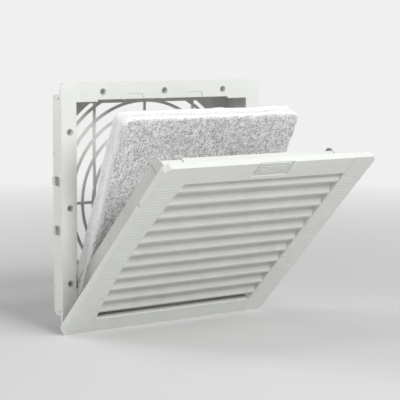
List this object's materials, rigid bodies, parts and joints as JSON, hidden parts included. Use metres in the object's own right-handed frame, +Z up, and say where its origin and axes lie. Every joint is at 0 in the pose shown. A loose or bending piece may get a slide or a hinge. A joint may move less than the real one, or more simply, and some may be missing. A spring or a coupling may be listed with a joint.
{
  "type": "enclosure exhaust filter",
  "caption": "Square exhaust filter for an enclosure wall: snap-in frame with finger guard, hinged louvred cover shown open, and a filter mat leaning out.",
  "frame": {"origin": "centre of the cut-out in the plane of the enclosure wall, which is the rear face of the flange", "axes": "+X to the right seen from in front, +Y into the enclosure along the collar, +Z up"},
  "size_m": [0.252, 0.2173, 0.2477],
  "materials": {
    "housing_plastic": "fine textured light grey moulding",
    "louvre_plastic": "fine textured light grey moulding",
    "guard_plastic": "smooth light grey moulding",
    "clip_plastic": "satin light grey moulding",
    "gasket_foam": "closed-cell black foam",
    "filter_fleece": "bonded polyester fleece, white"
  },
  "bodies": {
    "base": {"base_flange": "housing_plastic", "mounting_collar": "housing_plastic", "finger_guard": "guard_plastic", "panel_gasket": "gasket_foam", "hinge_trunnion_left": "housing_plastic", "hinge_trunnion_right": "housing_plastic", "mat_rest_left": "housing_plastic", "mat_rest_right": "housing_plastic"},
    "cover": {"cover_frame": "housing_plastic", "side_strip": "housing_plastic", "grip_plate": "housing_plastic", "latch_pad_left": "housing_plastic", "latch_pad_right": "housing_plastic", "skirt_left": "housing_plastic", "skirt_right": "housing_plastic", "skirt_top": "housing_plastic", "snap_tab_left": "housing_plastic", "snap_tab_right": "housing_plastic", "louvre_rib": "louvre_plastic", "louvre_slat_01": "louvre_plastic", "louvre_slat_02": "louvre_plastic", "louvre_slat_03": "louvre_plastic", "louvre_slat_04": "louvre_plastic", "louvre_slat_05": "louvre_plastic", "louvre_slat_06": "louvre_plastic", "louvre_slat_07": "louvre_plastic", "louvre_slat_08": "louvre_plastic", "louvre_slat_09": "louvre_plastic", "louvre_slat_10": "louvre_plastic", "louvre_slat_11": "louvre_plastic"},
    "mat": {"filter_mat": "filter_fleece"},
    "clip_upper_left": {"retaining_clip_upper_left": "clip_plastic"},
    "clip_lower_left": {"retaining_clip_lower_left": "clip_plastic"},
    "clip_upper_right": {"retaining_clip_upper_right": "clip_plastic"},
    "clip_lower_right": {"retaining_clip_lower_right": "clip_plastic"}
  },
  "joints": [
    {"name": "cover_hinge", "type": "hinge", "parent": "base", "child": "cover", "pos_m": [0, -0.0055, -0.1196], "axis": [1, 0, 0], "range_deg": [-45.37, 0]},
    {"name": "mat_tilt", "type": "hinge", "parent": "base", "child": "mat", "pos_m": [0, -0.0107, -0.1372], "axis": [1, 0, 0], "range_deg": [-24.71, 0]},
    {"name": "clip_upper_left_spring", "type": "hinge", "parent": "base", "child": "clip_upper_left", "pos_m": [-0.1094, 0.003, 0.0246], "axis": [0, 0, -1], "range_deg": [0, 5.5], "stiffness_Nm_per_rad": 0.4},
    {"name": "clip_lower_left_spring", "type": "hinge", "parent": "base", "child": "clip_lower_left", "pos_m": [-0.1094, 0.003, -0.0246], "axis": [0, 0, -1], "range_deg": [0, 5.5], "stiffness_Nm_per_rad": 0.4},
    {"name": "clip_upper_right_spring", "type": "hinge", "parent": "base", "child": "clip_upper_right", "pos_m": [0.1094, 0.003, 0.0246], "axis": [0, 0, 1], "range_deg": [0, 5.5], "stiffness_Nm_per_rad": 0.4},
    {"name": "clip_lower_right_spring", "type": "hinge", "parent": "base", "child": "clip_lower_right", "pos_m": [0.1094, 0.003, -0.0246], "axis": [0, 0, 1], "range_deg": [0, 5.5], "stiffness_Nm_per_rad": 0.4}
  ],
  "couplings": [
    {"joint": "mat_tilt", "follows": "cover_hinge", "ratio": 0.54441}
  ]
}
